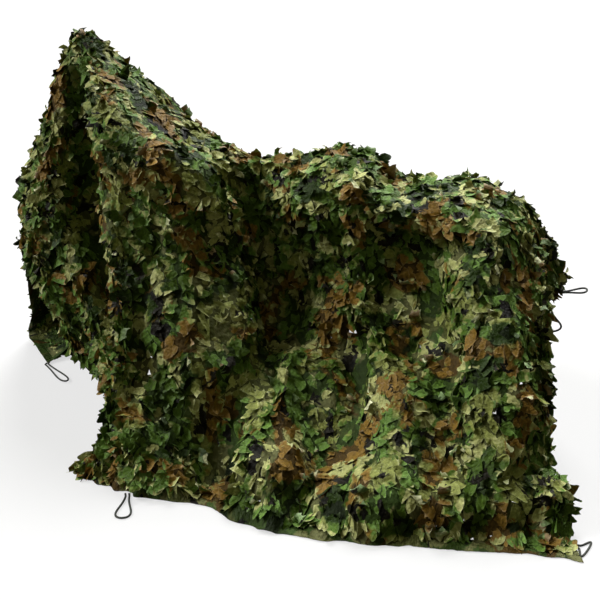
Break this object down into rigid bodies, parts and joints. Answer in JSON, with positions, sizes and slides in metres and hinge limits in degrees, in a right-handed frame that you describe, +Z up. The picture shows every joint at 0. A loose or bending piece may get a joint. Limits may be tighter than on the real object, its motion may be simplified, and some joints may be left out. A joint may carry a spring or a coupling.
{
  "type": "camouflage net",
  "caption": "Leafy woodland camouflage net with a bound edge and cord loops, draped as the hollow cover of a parked two-wheeler.",
  "frame": {"origin": "on the floor, at the bottom centre of the box round the net and its binding", "axes": "+X along the net's long side, from the high front to the tail; +Y across it, away from the near side; +Z up"},
  "size_m": [2.5908, 1.9035, 1.4627],
  "materials": {
    "leaf_cloth": "printed woven polyester, cut into leaves, slight sheen",
    "binding_cloth": "printed woven polyester, folded and stitched flat",
    "loop_cord": "braided dark cord"
  },
  "bodies": {
    "root": {"net": "leaf_cloth", "near_binding": "binding_cloth", "far_binding": "binding_cloth", "front_binding": "binding_cloth", "rear_binding": "binding_cloth", "front_loop": "loop_cord", "near_loop": "loop_cord", "corner_loop": "loop_cord", "rear_loop_upper": "loop_cord", "rear_loop_lower": "loop_cord"}
  },
  "joints": []
}
